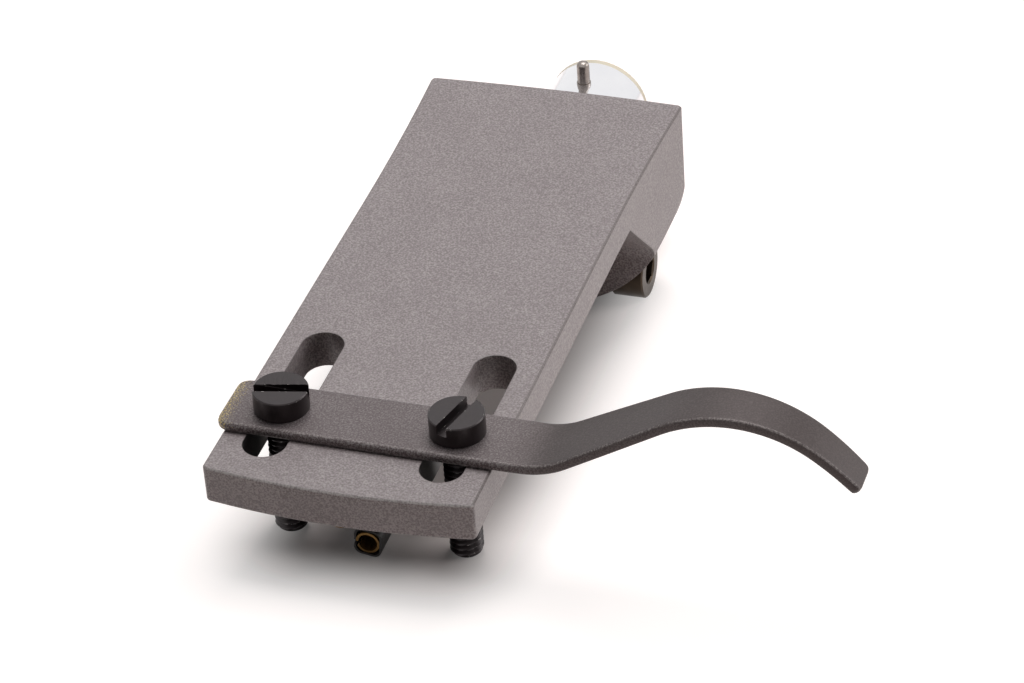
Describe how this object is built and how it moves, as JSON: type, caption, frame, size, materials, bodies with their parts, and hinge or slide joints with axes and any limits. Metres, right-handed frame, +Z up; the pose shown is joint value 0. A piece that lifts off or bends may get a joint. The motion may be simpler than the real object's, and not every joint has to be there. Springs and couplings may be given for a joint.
{
  "type": "turntable headshell",
  "caption": "Slotted plate that carries a record player's cartridge, with a finger lift, lead wires and a bayonet plug clamped in its rear block.",
  "frame": {"origin": "on the plug's axis, in the plane where the plug leaves the shell", "axes": "+Y along the plug towards the tonearm, +Z up from the slotted plate, +X towards the finger lift"},
  "size_m": [0.0451, 0.0629, 0.0223],
  "materials": {
    "shell_paint": "satin speckled",
    "plug_chrome": "polished",
    "pin_steel": "turned",
    "insulator_cream": "satin",
    "washer_rubber": "matte",
    "clamp_screw_steel": "satin",
    "lift_paint": "satin speckled",
    "screw_black": "blackened satin",
    "contact_gold": "gold plated",
    "clip_gold": "gold plated",
    "sleeve_black": "matte",
    "wire_red": "satin",
    "wire_white": "satin",
    "wire_green": "satin",
    "wire_blue": "satin"
  },
  "bodies": {
    "root": {"shell_body": "shell_paint", "plug_tube": "plug_chrome", "locating_pin": "pin_steel", "plug_insulator": "insulator_cream", "seal_washer": "washer_rubber", "clamp_screw": "clamp_screw_steel", "finger_lift": "lift_paint", "cartridge_screw_left": "screw_black", "cartridge_screw_right": "screw_black", "contact_upper_left": "contact_gold", "rear_clip_upper_left": "clip_gold", "rear_sleeve_upper_left": "sleeve_black", "front_clip_upper_left": "clip_gold", "front_sleeve_upper_left": "sleeve_black", "lead_wire_upper_left": "wire_white", "contact_upper_right": "contact_gold", "rear_clip_upper_right": "clip_gold", "rear_sleeve_upper_right": "sleeve_black", "front_clip_upper_right": "clip_gold", "front_sleeve_upper_right": "sleeve_black", "lead_wire_upper_right": "wire_red", "contact_lower_left": "contact_gold", "rear_clip_lower_left": "clip_gold", "rear_sleeve_lower_left": "sleeve_black", "front_clip_lower_left": "clip_gold", "front_sleeve_lower_left": "sleeve_black", "lead_wire_lower_left": "wire_blue", "contact_lower_right": "contact_gold", "rear_clip_lower_right": "clip_gold", "rear_sleeve_lower_right": "sleeve_black", "front_clip_lower_right": "clip_gold", "front_sleeve_lower_right": "sleeve_black", "lead_wire_lower_right": "wire_green"}
  },
  "joints": []
}
